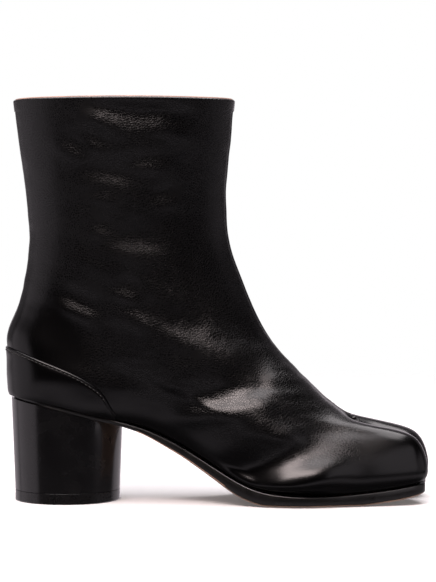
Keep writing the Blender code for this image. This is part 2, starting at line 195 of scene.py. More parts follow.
crest = [sectionAt(level) for level in np.linspace(*cleft["crestLevels"], 120)]
crestX = np.array([size["front"] for size in crest])
crestZ = np.array([size["frontRise"] for size in crest])
floorSection = sectionAt(0.0)


def riseAt(size, x):
    floor = floorSection
    share = (x - size["back"]) / (size["front"] - size["back"])
    underIt = featherRise(between(floor["back"], floor["front"], share))
    sag = underIt - between(floor["backRise"], floor["frontRise"], share)
    return between(size["backRise"], size["frontRise"], share) + size["sag"] * sag


def middleAt(size, x):
    share = (x - size["back"]) / (size["front"] - size["back"])
    toCleft = ramp(x / last["toeReach"], last["seamBend"])
    waist = bell((share - last["waistAt"]) / last["waistSpread"])
    waist *= size["sag"] * last["waistSide"]
    return (toCleft * cleft["side"] - waist) * last["ballWidth"]


def sideTurns(columns, evenness=0.45, seamShares=()):
    # half turns from the back seam to a toe's tip, closer together at both ends
    t = np.linspace(0.0, 1.0, columns + 1)
    turns = math.pi * (t + evenness * np.sin(2.0 * math.pi * t) / (2.0 * math.pi))
    return np.concatenate([[0.0], turns[1] * np.array(seamShares), turns[1:]])


def shellRing(level, turns, slotColumns):
    # closed section of the shell: back seam, outer side, cleft, inner side
    size = sectionAt(level)
    length = size["front"] - size["back"]
    low = 1.0 - min(level / cleft["startLevel"], 1.0)
    slotEnd = between(cleft["atCrest"], cleft["atSole"], low) * last["toeReach"]
    depth = max(size["front"] - slotEnd, 0.0)
    split = float(ease(depth / cleft["round"]))
    half = cleft["gap"] / 2.0
    share = (1.0 - np.cos(turns)) / 2.0
    step = np.linspace(0.0, 1.0, slotColumns + 1)[1:]
    backBy = depth * (1.0 - np.cos(math.pi * step)) / 2.0
    x = np.concatenate([size["back"] + length * share, size["front"] - backBy])
    z = riseAt(size, x)
    mid = middleAt(size, x)
    below = np.maximum(np.interp(x, crestX, crestZ) - z, 0.0)[len(turns):]
    inside = backBy * below / np.sqrt(backBy ** 2 + below ** 2 + 1e-12)
    q = 1.0 - np.clip(inside / cleft["round"], 0.0, 1.0)
    pinch = 1.0 - (1.0 - ease((depth - backBy) / cleft["pinch"])) * (1.0 - q ** 4)
    flare = (1.0 - np.sqrt(1.0 - q * q)) * pinch
    closing = np.clip((backBy - depth + cleft["end"]) / cleft["end"], 0.0, 1.0)
    closing = np.sqrt(np.maximum(1.0 - closing * closing, 0.0))
    toeShare = ease((x - slotEnd) / (last["toeReach"] - slotEnd))
    sides = []
    for sign, crestShare, ahead in ((-1.0, cleft["smallToeCrest"], 0.0),
                                    (1.0, cleft["bigToeCrest"], cleft["bigToeAhead"])):
        toeCrest = crestShare * last["ballWidth"] * size["toes"]
        full = [math.sqrt(last["seatRound"] * size["heel"] * length / 2.0)]
        for name, place in stationShares:
            wave = 2.0 * math.sqrt(place * (1.0 - place))
            full.append((size[name] - toeCrest * place ** 4) / wave)
        full.append(full[-1])
        places = [0.0] + [place for _, place in stationShares] + [1.0]
        width = np.sin(turns) * curveThrough(places, full)(share) + toeCrest * share ** 4
        slot = between(half, toeCrest, flare) * closing
        slot = between(toeCrest * (1.0 - step), slot, split)
        y = mid + sign * np.concatenate([width, slot])
        sides.append(np.stack([x + ahead * split * toeShare, y, z], axis=1))
    outer, inner = sides
    return np.concatenate([outer, inner[1:-1][::-1]])


def grown(loop, by):
    along = np.roll(loop, -1, axis=0) - np.roll(loop, 1, axis=0)
    out = np.stack([along[:, 1], -along[:, 0]], axis=1)
    new = loop.copy()
    new[:, :2] += out / np.linalg.norm(out, axis=1)[:, None] * by
    return new


def surfaceNormals(rings):
    up = np.gradient(rings, axis=0)
    along = np.roll(rings, -1, axis=1) - np.roll(rings, 1, axis=1)
    out = np.cross(along, up)
    return out / np.maximum(np.linalg.norm(out, axis=2), 1e-12)[:, :, None]


def stackFaces(loops, count, start=0):
    i = np.arange(loops - 1)[:, None] * count
    j = np.arange(count)[None, :]
    k = (j + 1) % count
    quads = np.stack([i + j, i + k, i + count + k, i + count + j], axis=2)
    return (quads.reshape(-1, 4) + start).tolist()


def endFaces(loops, count, start=0):
    first = list(range(start, start + count))
    return first, [v + (loops - 1) * count for v in first]


def addObject(name, data):
    thing = bpy.data.objects.new(name, data)
    bpy.context.scene.collection.objects.link(thing)
    return thing


def makePiece(name, points, faces, materials, faceMaterials=None, corner=0.9):
    mesh = bpy.data.meshes.new(name)
    mesh.from_pydata(np.asarray(points, dtype=float).tolist(), [], faces)
    for material in materials:
        mesh.materials.append(material)
    if faceMaterials is not None:
        mesh.polygons.foreach_set("material_index", faceMaterials)
    mesh.shade_smooth()
    mesh.set_sharp_from_angle(angle=corner)
    mesh.update()
    piece = addObject(name, mesh)
    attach(piece, "root")
    return piece


def setTautness(piece, values=None):
    values = np.ones(len(piece.data.vertices)) if values is None else values
    attribute = piece.data.attributes.new("tautness", "FLOAT", "POINT")
    attribute.data.foreach_set("value", np.asarray(values, dtype=np.float32).ravel())


# Node helpers for the materials
def newMaterial(name, **settings):
    material = bpy.data.materials.new(name)
    material.use_nodes = True
    shader = material.node_tree.nodes["Principled BSDF"]
    for socket, value in settings.items():
        shader.inputs[socket.replace("_", " ")].default_value = value
    return material, material.node_tree, shader


def addNode(tree, kind, links=None, **values):
    node = tree.nodes.new(kind)
    for key, value in values.items():
        if hasattr(node, key):
            setattr(node, key, value)
        else:
            node.inputs[key.replace("_", " ")].default_value = value
    for socket, source in (links or {}).items():
        tree.links.new(source, node.inputs[socket])
    return node


def feed(tree, socket, value):
    # a number goes into the socket itself, an output is linked to it
    if isinstance(value, (int, float)):
        socket.default_value = value
    else:
        tree.links.new(value, socket)


def mathNode(tree, operation, a, b=0.0):
    node = tree.nodes.new("ShaderNodeMath")
    node.operation = operation
    feed(tree, node.inputs[0], a)
    feed(tree, node.inputs[1], b)
    return node.outputs[0]


def rangeNode(tree, source, low, high, toLow, toHigh):
    node = tree.nodes.new("ShaderNodeMapRange")
    tree.links.new(source, node.inputs["Value"])
    for socket, value in zip(("From Min", "From Max", "To Min", "To Max"),
                             (low, high, toLow, toHigh)):
        node.inputs[socket].default_value = value
    return node.outputs[0]


def placeNode(tree):
    return tree.nodes.new("ShaderNodeTexCoord").outputs["Object"]


def cloudNode(tree, place, scale, detail=2.0, **values):
    return addNode(tree, "ShaderNodeTexNoise", {"Vector": place}, Scale=scale, Detail=detail,
                   **values).outputs["Fac"]


def unevenRoughness(tree, cloud, roughness):
    return rangeNode(tree, cloud, 0.3, 0.7, *roughness)


def addBump(tree, shader, height, distance=1.0, strength=1.0):
    bump = addNode(tree, "ShaderNodeBump", {"Height": height}, Distance=distance)
    feed(tree, bump.inputs["Strength"], strength)
    tree.links.new(bump.outputs["Normal"], shader.inputs["Normal"])


def addMottle(tree, shader, cloud, colour, spotColour):
    tone = rangeNode(tree, cloud, 0.35, 0.65, 0.0, 1.0)
    mixed = addNode(tree, "ShaderNodeMix", {"Factor": tone}, data_type="RGBA")
    mixed.inputs[6].default_value = colour
    mixed.inputs[7].default_value = spotColour
    tree.links.new(mixed.outputs[2], shader.inputs["Base Color"])


def polishedMaterial(name, look):
    # one colour under a coat, with slight clouds in its gloss and on its surface
    material, tree, shader = newMaterial(name, Base_Color=look["colour"], Coat_Weight=look["coat"],
                                         Coat_Roughness=look["coatRoughness"])
    cloud = cloudNode(tree, placeNode(tree), look["cloudScale"], look["cloudDetail"])
    tree.links.new(unevenRoughness(tree, cloud, look["roughness"]), shader.inputs["Roughness"])
    addBump(tree, shader, cloud, look["cloudDepth"], 0.5)
    return material


# Smooth black calf leather of the upper
leather = {
    "colour": (0.0003, 0.0002, 0.0003, 1.0),
    "grainScale": 820.0,  # cells in a metre
    "grainValley": 0.13,  # width of the valleys, share of a cell
    "grainDepth": 0.00004,
    "wrinkleScale": 330.0,
    "wrinkleDepth": 0.00008,
    "tautDepth": 0.15,  # share of grain and wrinkles left where it is pulled tight
    "cloudScale": 45.0,
    "roughness": (0.22, 0.28),
    "valleyRoughness": 0.08,  # more in the valleys of the grain
    "tautRoughness": 0.22,
}


def leatherMaterial(name, look):
    material, tree, shader = newMaterial(name, Base_Color=look["colour"])
    place = placeNode(tree)
    taut = addNode(tree, "ShaderNodeAttribute", attribute_name="tautness").outputs["Fac"]
    slack = mathNode(tree, "SUBTRACT", 1.0, taut)
    cells = addNode(tree, "ShaderNodeTexVoronoi", {"Vector": place}, feature="DISTANCE_TO_EDGE",
                    Scale=look["grainScale"]).outputs["Distance"]
    grain = rangeNode(tree, cells, 0.0, look["grainValley"], 0.0, look["grainDepth"])
    wrinkles = cloudNode(tree, place, look["wrinkleScale"], Roughness=0.45, Distortion=0.6)
    wrinkles = mathNode(tree, "MULTIPLY", wrinkles, look["wrinkleDepth"])
    addBump(tree, shader, mathNode(tree, "ADD", grain, wrinkles),
            strength=rangeNode(tree, slack, 0.0, 1.0, look["tautDepth"], 1.0))
    rough = unevenRoughness(tree, cloudNode(tree, place, look["cloudScale"], 3.0),
                            look["roughness"])
    valley = rangeNode(tree, cells, 0.0, look["grainValley"], look["valleyRoughness"], 0.0)
    mixed = addNode(tree, "ShaderNodeMix", {"Factor": taut})
    tree.links.new(mathNode(tree, "ADD", rough, valley), mixed.inputs["A"])
    mixed.inputs["B"].default_value = look["tautRoughness"]
    tree.links.new(mixed.outputs["Result"], shader.inputs["Roughness"])
    return material


# Pale lining, also on the insole and the lining's raw edge
lining = {
    "colour": (0.52, 0.34, 0.27, 1.0),
    "spotColour": (0.44, 0.28, 0.22, 1.0),
    "edgeColour": (0.30, 0.20, 0.17, 1.0),
    "roughness": 0.62,
    "cloudScale": 70.0,
    "grainScale": 900.0,
    "grainDepth": 0.00003,
}


def liningMaterial(name, look, colour):
    material, tree, shader = newMaterial(name, Roughness=look["roughness"])
    place = placeNode(tree)
    addMottle(tree, shader, cloudNode(tree, place, look["cloudScale"], 4.0), colour,
              look["spotColour"])
    cells = addNode(tree, "ShaderNodeTexVoronoi", {"Vector": place}, Scale=look["grainScale"])
    addBump(tree, shader, mathNode(tree, "MULTIPLY", cells.outputs["Distance"],
                                   look["grainDepth"]))
    return material


calfLeather = leatherMaterial("calfLeather", leather)
liningLeather = liningMaterial("liningLeather", lining, lining["colour"])
liningEdge = liningMaterial("liningEdge", lining, lining["edgeColour"])
print("leather and lining ready")

# The upper: outer leather, folded collar, raw top of the lining, lining inside
upperShape = {
    "sideColumns": 118,
    "slotColumns": 26,
    "seamShares": (0.12, 0.26, 0.42, 0.65),  # extra columns beside the back seam
    "rowPitch": 0.00125,
    "innerRowStep": 3,
    "bandRise": 0.007,
    "bandStep": 0.0007,  # beside the two seams, nothing between them
    "bandOver": 0.0006,
    "bandSpread": 0.008,
    "bandRows": 0.0003,  # closer rows where the band begins
    "bandClear": 0.0011,
    "topRow": 0.0016,  # last row below the collar's rounded top
    "edgeRoll": 0.0009,
    "edgeRollOver": 0.0022,
    "frontSeamAside": 0.0060,  # both seams lie a little to the outer side of the middle
    "frontSeamBack": (0.110, 0.045),  # the front one runs back to it here
    "backSeamAside": 0.0045,
    "seamDepth": 0.0008,
    "seamWidth": 0.0007,
    "seamPuff": 0.0004,
    "seamPuffAt": 0.0022,
    "seamEnd": 0.004,  # the front seam runs out over this length at the cleft
    "freeOverSole": (0.0005, 0.0055),  # folds start above the sole and stop below the collar
    "freeUnderTop": (0.001, 0.009),
}
# rounded top of the collar: share of the wall inwards, drop below the top edge
collarCrown = (
    (0.06, 0.0011),
    (0.20, 0.0007),
    (0.38, 0.0006),
    (0.50, 0.0009),
    (0.56, 0.0002),
    (0.68, 0.0000),
    (0.88, 0.0000),
    (0.97, 0.0004),
)

# Folds given one by one, as seen from the side. Ends in shares of toeReach and bootRise, the rest
# in metres but for the fades and the opening. The leather stands out by "drop" below the fold
# and sinks as much above it; "swell" lifts or sinks the whole fold. A short row ends in the
# usual values.
foldColumns = ("along", "rise", "toAlong", "toRise", "width", "drop", "fadeIn", "fadeOut",
               "opening", "bow", "swell")
usualFold = {"fadeIn": 0.45, "fadeOut": 0.45, "opening": 1.0, "bow": 0.0, "swell": 0.0}
outerFolds = (
    # across the ball of the foot
    (0.420, 0.026, 0.800, 0.142, 0.0120, 0.0046, 0.30, 0.34, 0.80, -0.0006),
    (0.540, 0.178, 0.680, 0.198, 0.0065, 0.0005, 0.45, 0.45, 0.80),
    # side of the vamp
    (0.240, 0.215, 0.585, 0.275, 0.0095, 0.0019, 0.60, 0.14, 0.55),
    (0.300, 0.230, 0.480, 0.262, 0.0150, 0.0, 0.45, 0.45, 1.00, 0.0, -0.0014),
    (0.330, 0.340, 0.520, 0.330, 0.0100, -0.0007, 0.40, 0.40),
    # ankle
    (-0.040, 0.515, 0.130, 0.448, 0.0050, 0.0009, 0.40, 0.40),
    (0.130, 0.540, 0.230, 0.500, 0.0050, 0.0007),
    (0.140, 0.500, 0.280, 0.430, 0.0055, 0.0006),
    (0.240, 0.455, 0.390, 0.392, 0.0065, 0.0008, 0.45, 0.35),
    # leg
    (0.040, 0.985, 0.300, 0.915, 0.0080, 0.0014, 0.30, 0.40, 1.00, -0.003),
    (0.200, 0.945, 0.380, 0.918, 0.0065, 0.0010, 0.40, 0.40),
    (0.120, 0.885, 0.330, 0.878, 0.0060, 0.0006),
    (-0.030, 0.905, 0.080, 0.840, 0.0050, 0.0006),
    (0.040, 0.920, 0.130, 0.860, 0.0045, 0.0005),
    (0.030, 0.812, 0.225, 0.772, 0.0060, 0.0008),
    (0.050, 0.770, 0.180, 0.745, 0.0045, 0.0005),
    (0.150, 0.830, 0.330, 0.842, 0.0045, 0.0006),
    (0.220, 0.735, 0.340, 0.758, 0.0045, 0.0005),
    (0.060, 0.690, 0.150, 0.660, 0.0045, 0.0004),
    (0.080, 0.640, 0.320, 0.618, 0.0060, 0.0005),
)
# the inner side hangs looser at the ankle and is smoother at the toes
innerFolds = (
    (0.440, 0.060, 0.700, 0.115, 0.0080, 0.0018, 0.35, 0.30, 0.80),
    (0.300, 0.260, 0.560, 0.235, 0.0085, 0.0014, 0.45, 0.30, 0.80),
    (0.340, 0.345, 0.500, 0.330, 0.0070, 0.0008, 0.40, 0.40),
    (-0.060, 0.500, 0.140, 0.445, 0.0060, 0.0011, 0.40, 0.40),
    (0.060, 0.560, 0.260, 0.485, 0.0055, 0.0009),
    (0.180, 0.480, 0.380, 0.400, 0.0065, 0.0011, 0.45, 0.35),
    (-0.040, 0.640, 0.180, 0.610, 0.0060, 0.0007),
    (0.100, 0.720, 0.320, 0.745, 0.0055, 0.0007),
    (-0.060, 0.830, 0.160, 0.795, 0.0060, 0.0008),
    (0.020, 0.950, 0.280, 0.905, 0.0070, 0.0012, 0.35, 0.40),
)
foldTight = 0.7  # the leather turns under faster than it sinks above
foldClear = 0.012  # folds fade out this close to the middle of the boot
slackShape = {
    "depth": (0.00035, 0.00008),
    "across": (0.030, 0.011),  # size of the soft unevenness along a fold
    "down": (0.014, 0.0045),
    "ankleTurn": -0.6,  # the folds run down towards the toe at the ankle
    "ankleRise": 0.42,  # share of bootRise
    "ankleSpread": 0.14,
}
# Dips and swells beside the cleft: place as share of toeReach and metres from the seam, length
# as share, width and height in metres
cleftDips = (
    (0.798, -0.0060, 0.024, 0.0085, -0.0040),
    (0.838, -0.0070, 0.038, 0.0095, -0.0038),
    (0.930, -0.0070, 0.035, 0.0070, 0.0014),
)
lastedShape = {
    "turnIn": 0.0011,  # the leather rolls in just above the sole
    "turnInOver": 0.0032,
    "turnInSeat": 0.15,  # share of it round the heel
    "turnInWaist": (0.010, 0.035),
    "turnInLess": 0.55,  # share taken off again in the forepart
    "turnInForepart": (0.120, 0.050),
    "seatSwell": 0.0012,  # round of the heel cup
    "seatSwellRise": 0.070,
    "seatSwellSpread": 0.009,
    "seatSwellStop": (-0.010, 0.035),
    "seatFoot": 0.0014,  # fuller at the very back, just above the heel
    "seatFootSpread": 0.005,
    "seatFootStop": (-0.030, 0.025),
}


def lastedLift(points):
    look = lastedShape
    x, z = points[..., 0], points[..., 2]
    overSole = z - featherRise(x)
    turn = -look["turnIn"] * (1.0 - np.clip(overSole / look["turnInOver"], 0.0, 1.0)) ** 2
    turn = turn * (between(look["turnInSeat"], 1.0, ramp(x, look["turnInWaist"]))
                   - look["turnInLess"] * ramp(x, look["turnInForepart"]))
    cup = look["seatSwell"] * bell((z - look["seatSwellRise"]) / look["seatSwellSpread"])
    foot = look["seatFoot"] * bell(overSole / look["seatFootSpread"])
    return (turn + cup * (1.0 - ramp(x, look["seatSwellStop"]))
            + foot * (1.0 - ramp(x, look["seatFootStop"])))


def dipBeside(points, middles):
    # the small toe's lobe dips beside the end of the cleft and rises again before its crest
    x, off, z = points[:, :, 0], points[:, :, 1] - middles, points[:, :, 2]
    shift = np.zeros(x.shape)
    for along, across, length, width, height in cleftDips:
        shift += height * (bell((x / last["toeReach"] - along) / length)
                           * bell((off - across) / width))
    high = ease((z - np.interp(x, crestX, crestZ)) / cleft["dipOver"] + 1.0)
    return shift * high * ease(-off / cleft["dipFrom"])


def foldLift(points, middles):
    ends = np.array([last["toeReach"], last["bootRise"]])
    x, z = points[:, :, 0], points[:, :, 2]
    fromSeam = points[:, :, 1] - middles
    lift = np.zeros(x.shape)
    for row, side in ([(row, -fromSeam) for row in outerFolds]
                      + [(row, fromSeam) for row in innerFolds]):
        fold = {**usualFold, **dict(zip(foldColumns, row))}
        start = np.array([fold["along"], fold["rise"]]) * ends
        run = np.array([fold["toAlong"], fold["toRise"]]) * ends - start
        length = np.linalg.norm(run)
        ahead = run / length
        fromX, fromZ = x - start[0], z - start[1]
        t = (fromX * ahead[0] + fromZ * ahead[1]) / length
        inside = np.clip(t, 0.0, 1.0)
        off = fromZ * ahead[0] - fromX * ahead[1] - fold["bow"] * 4.0 * inside * (1.0 - inside)
        u = off / (fold["width"] * between(fold["opening"], 1.0, inside))
        tight = np.where(u < 0.0, foldTight, 1.0)
        swell = fold["swell"] * np.exp(-0.5 * u * u)
        u = u / tight
        profile = swell - fold["drop"] * tight * u * np.exp(0.5 - 0.5 * u * u)
        fade = ease(t / fold["fadeIn"]) * ease((1.0 - t) / fold["fadeOut"])
        lift += profile * fade * ease(side / foldClear)
    return lift


def slackLift(points, slack):
    # low uneven swellings of leather that isn't pulled tight, drawn out along the folds
    flat = points.reshape(-1, 3)
    ankle = (flat[:, 2] / last["bootRise"] - slackShape["ankleRise"]) / slackShape["ankleSpread"]
    ankle = bell(ankle) * slackShape["ankleTurn"]
    along = flat[:, 0] * np.cos(ankle) + flat[:, 2] * np.sin(ankle)
    down = flat[:, 2] * np.cos(ankle) - flat[:, 0] * np.sin(ankle)
    lift = np.zeros(len(flat))
    for depth, wide, tall in zip(slackShape["depth"], slackShape["across"], slackShape["down"]):
        lift += [depth * noise.noise(Vector((a / wide, d / tall, y / wide)))
                 for a, d, y in zip(along, down, flat[:, 1])]
    return lift.reshape(points.shape[:2]) * slack


def seamLift(off):
    look = upperShape
    groove = -look["seamDepth"] * bell(off / look["seamWidth"])
    puff = look["seamPuff"] * bell((np.abs(off) - look["seamPuffAt"]) / look["seamPuffAt"])
    return groove + puff


def upperLevels():
    look = upperShape
    top = len(sections) - 1
    levels = []
    for row in range(top):
        low, high = sectionAt(row), sectionAt(row + 1)
        front = math.hypot(high["front"] - low["front"], high["frontRise"] - low["frontRise"])
        back = math.hypot(high["back"] - low["back"], high["backRise"] - low["backRise"])
        steps = max(3, math.ceil(max(front, back) / look["rowPitch"]))
        levels += list(row + np.arange(steps) / steps)
    lastRise = last["bootRise"] * (1.0 - sections[-2][sectionColumns.index("frontRise")])
    bandLevel = top - look["bandRise"] / lastRise
    levels = [v for v in levels if abs(v - bandLevel) > look["bandClear"] / lastRise]
    levels += list(bandLevel + np.arange(-3, 4) * look["bandRows"] / lastRise)
    levels += [top - look["topRow"] / lastRise]
    return np.array(sorted(levels)), bandLevel, lastRise


# Leather pulled hard over the last: along the feather line, at the toes and at the heel seat
tautShape = {
    "overSole": (0.006, 0.022),
    "toes": (0.74, 0.14),  # shares of toeReach
    "seat": (-0.005, 0.03),
    "overSeat": (0.03, 0.05),
}


def tautnessOf(points):
    x, z = points[..., 0], points[..., 2]
    overSole = z - featherRise(x)
    lowPart = 1.0 - ramp(overSole, tautShape["overSole"])
    toePart = ramp(x / last["toeReach"], tautShape["toes"])
    heelPart = 1.0 - ramp(x, tautShape["seat"])
    heelPart = heelPart * (1.0 - ramp(overSole, tautShape["overSeat"]))
    return np.maximum(np.maximum(lowPart, toePart), heelPart)


def seamsAndBand(base, middles, levels, bandLevel, lastRise):
    # the two seams up to the collar, the collar's band and the roll of its edge
    look = upperShape
    off = base[:, :, 1] - middles
    count = base.shape[1]
    atFront = np.abs(np.arange(count) - count // 2) < count // 5
    fronts = np.array([sectionAt(level)["front"] for level in levels])
    split = ease((fronts - cleft["atCrest"] * last["toeReach"]) / look["seamEnd"])
    split = np.where(levels < cleft["startLevel"] + 1.0, split, 0.0)
    aside = look["frontSeamAside"] * (1.0 - ramp(base[:, :, 0], look["frontSeamBack"]))
    seams = seamLift(off + aside) * (1.0 - split[:, None]) * atFront
    seams = seams + seamLift(off + look["backSeamAside"]) * (base[:, :, 0] < 0.0) * ~atFront
    band = look["bandStep"] * ease((levels - bandLevel) * lastRise / look["bandOver"] + 0.5)
    belowTop = (levels[-1] - levels) * lastRise + look["topRow"]
    roll = look["edgeRoll"] * np.clip(1.0 - belowTop / look["edgeRollOver"], 0.0, 1.0) ** 2
    return (seams * (levels <= bandLevel)[:, None]
            + band[:, None] * bell(off / look["bandSpread"]) - roll[:, None])


def makeUpper():
    look = upperShape
    turns = sideTurns(look["sideColumns"], seamShares=look["seamShares"])
    levels, bandLevel, lastRise = upperLevels()
    base = np.array([shellRing(level, turns, look["slotColumns"]) for level in levels])
    out = surfaceNormals(base)
    rows, count = base.shape[:2]
    middles = np.array([middleAt(sectionAt(level), ring[:, 0])
                        for level, ring in zip(levels, base)])
    free = ramp(base[:, :, 2] - featherRise(base[:, :, 0]), look["freeOverSole"])
    free = free * ramp(last["bootRise"] - base[:, :, 2], look["freeUnderTop"])
    slack = (1.0 - tautnessOf(base)) * free
    lift = foldLift(base, middles) * free + slackLift(base, slack) + lastedLift(base)
    lift += seamsAndBand(base, middles, levels, bandLevel, lastRise)
    outer = base + out * lift[:, :, None]
    outer[:, :, 2] += dipBeside(base, middles)
    picks = sorted({*range(0, rows, look["innerRowStep"]), rows - 1})
    inner = (outer - out * last["wall"])[picks]
    inner[0][:, 2] = featherRise(inner[0][:, 0])
    topOut, topIn = outer[-1], inner[-1]
    crown = []
    for inwards, drop in collarCrown:
        loop = between(topOut, topIn, inwards)
        loop[:, 2] = last["bootRise"] - drop
        crown.append(loop)
    loops = np.concatenate([outer, np.array(crown), inner[::-1]])
    total = len(loops)
    faces = stackFaces(total, count)
    bottom = (total - 1) * count
    closing = [[bottom + j, bottom + (j + 1) % count, (j + 1) % count, j] for j in range(count)]
    kinds = np.zeros((total - 1, count), dtype=int)
    kinds[rows + 3:rows + 6] = 1  # the lining's raw edge, then the lining
    kinds[rows + 6:] = 2
    faceMaterials = np.concatenate([kinds.ravel(), np.zeros(count, dtype=int)])
    piece = makePiece("upperLeather", loops.reshape(-1, 3), faces + closing,
                      [calfLeather, liningEdge, liningLeather], faceMaterials)
    setTautness(piece, tautnessOf(loops))
    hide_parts("upper")
    print("upper made:", len(faces), "faces")


# Small tack that closes the inner end of the cleft
tack = {
    "along": 0.1618,
    "rise": 0.0458,
    "across": 0.0044,
    "radii": (0.0015, 0.0010, 0.0010),
    "sides": 18,
    "rings": 12,
    "tilt": 0.47 * math.pi,  # its ends are closed this near to the poles
}


def makeTack(material):
    turn = np.linspace(0.0, 2.0 * math.pi, tack["sides"], endpoint=False)
    loops = []
    for tilt in np.linspace(-tack["tilt"], tack["tilt"], tack["rings"]):
        unit = np.stack([np.cos(turn) * math.cos(tilt), np.sin(turn) * math.cos(tilt),
                         np.full(len(turn), math.sin(tilt))], axis=1)
        loops.append(unit * tack["radii"] + (tack["along"], tack["across"], tack["rise"]))
    first, end = endFaces(tack["rings"], tack["sides"])
    faces = stackFaces(tack["rings"], tack["sides"]) + [first[::-1], end]
    piece = makePiece("cleftTack", np.concatenate(loops), faces, [material])
    setTautness(piece)


makeUpper()
makeTack(calfLeather)

# Heel panel laid over the shell and stitched close to its edge
counterShape = {
    "front": 0.150,  # share of toeReach
    "gap": 0.0004,
    "skin": 0.0009,
    "columns": 150,  # before those ahead of the front are left out
    "slotColumns": 6,
    "rows": 26,
    "levels": 90,
    "topLevel": 9.0,
    "edgeRound": 0.0007,
    "skinAtEdge": 0.35,  # share of the skin left at the edge
    "stitchIn": 0.0017,  # stitch line from the edge
    "stitchDip": 0.00016,
    "stitchDipWidth": 0.0004,
    "minRise": 0.0004,
    "slopeStep": 0.0002,
    # rows close to the edge, the others share what is left evenly
    "nearRows": (0.0, 0.00008, 0.0002, 0.0004, 0.0007, 0.0011, 0.0014, 0.0017, 0.0020, 0.0024),
}
counterEdgeColumns = ("along", "rise")
counterEdge = (
    (-0.180, 1.455),
    (-0.125, 1.413),
    (-0.089, 1.370),
    (-0.004, 1.260),
    (0.063, 1.150),
    (0.095, 1.077),
    (0.116, 1.002),
    (0.134, 0.890),
    (0.150, 0.820),
)
counterTop = curveThrough(columnOf(counterEdge, counterEdgeColumns, "along") * last["toeReach"],
                          columnOf(counterEdge, counterEdgeColumns, "rise") * last["seatRise"])
counterLeather = leatherMaterial("counterLeather", leather)


def polyAt(line, lengths, where):
    return np.stack([np.interp(where, lengths, line[:, a]) for a in range(3)], axis=1)


def counterColumns():
    # each column: base points and outward directions from the feather line to the edge
    look = counterShape
    turns = sideTurns(look["columns"], evenness=0.0)
    fine = np.array([shellRing(level, turns, look["slotColumns"])
                     for level in np.linspace(0.0, look["topLevel"], look["levels"])])
    out = surfaceNormals(fine)
    front = look["front"] * last["toeReach"]
    side = [j for j in range(1, look["columns"]) if fine[0][j][0] < front]
    found = []
    for j in [-k for k in side[::-1]] + [0] + side:
        line, normals = fine[:, j], out[:, j]
        under = counterTop(line[:, 0]) - line[:, 2]
        stop = int(np.argmax(under < 0.0))
        if under[0] < look["minRise"] or stop == 0:
            continue
        part = under[stop - 1] / (under[stop - 1] - under[stop])
        lengths = np.concatenate([[0.0], np.cumsum(np.linalg.norm(np.diff(line, axis=0), axis=1))])
        edge = lengths[stop - 1] + part * (lengths[stop] - lengths[stop - 1])
        x = float(np.interp(edge, lengths, line[:, 0]))
        climb = float(counterTop(x + look["slopeStep"]) - counterTop(x - look["slopeStep"]))
        slant = math.hypot(1.0, climb / (2.0 * look["slopeStep"]))
        found.append((line, normals, lengths, edge, slant))
    return found


def makeCounter():
    look = counterShape
    near = np.array(look["nearRows"])
    profiles, stitchPath = [], []
    for line, normals, lengths, edge, slant in counterColumns():
        backs = np.minimum(near * slant, edge * np.linspace(0.0, 0.6, len(near)))
        rest = np.linspace(backs[-1], edge, look["rows"] - len(near) + 1)[1:]
        where = edge - np.concatenate([backs, rest])
        fromEdge = (edge - where) / slant
        atEdge = np.clip(1.0 - fromEdge / look["edgeRound"], 0.0, 1.0)
        height = between(look["skinAtEdge"], 1.0, np.sqrt(1.0 - atEdge ** 2))
        height = look["gap"] + look["skin"] * height
        height -= look["stitchDip"] * bell((fromEdge - look["stitchIn"]) / look["stitchDipWidth"])
        base = polyAt(line, lengths, where)
        outwards = polyAt(normals, lengths, where)
        base = base + outwards * lastedLift(base)[:, None]
        outer = base + outwards * height[:, None]
        inner = base + outwards * look["gap"]
        profiles.append(np.concatenate([outer[::-1], inner]))
        if edge > 3.0 * look["stitchIn"] * slant:
            at = np.array([edge - look["stitchIn"] * slant])
            place, outward = polyAt(line, lengths, at), polyAt(normals, lengths, at)
            stitchPath.append(((place + outward * lastedLift(place)[:, None])[0], outward[0]))
    first, end = endFaces(len(profiles), len(profiles[0]))
    faces = [face[::-1] for face in stackFaces(len(profiles), len(profiles[0]))]
    piece = makePiece("heelPanel", np.concatenate(profiles), faces + [first, end[::-1]],
                      [counterLeather])
    setTautness(piece)
    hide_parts("counter")
    print("heel panel made:", len(faces), "faces")
    return stitchPath


# Waxed black thread
thread = {
    "colour": (0.020, 0.019, 0.018, 1.0),
    "roughness": 0.42,
    "pitch": 0.0026,
    "length": 0.0020,
    "radius": 0.00024,
    "sides": 6,
    "lift": 0.00008,
    "aheadBy": 0.0002,  # step that gives a stitch its direction
    "twistScale": 4000.0,
    "twistDepth": 0.00004,
    # shares: place along a stitch, thickness, how far it sinks into the leather
    "profile": ((-0.5, 0.35, 1.0), (-0.36, 0.85, 0.35), (0.0, 1.0, 0.0), (0.36, 0.85, 0.35),
                (0.5, 0.35, 1.0)),
}


def threadMaterial():
    material, tree, shader = newMaterial("waxedThread", Base_Color=thread["colour"],
                                         Roughness=thread["roughness"])
    addBump(tree, shader, cloudNode(tree, placeNode(tree), thread["twistScale"]),
            thread["twistDepth"], 0.6)
    return material


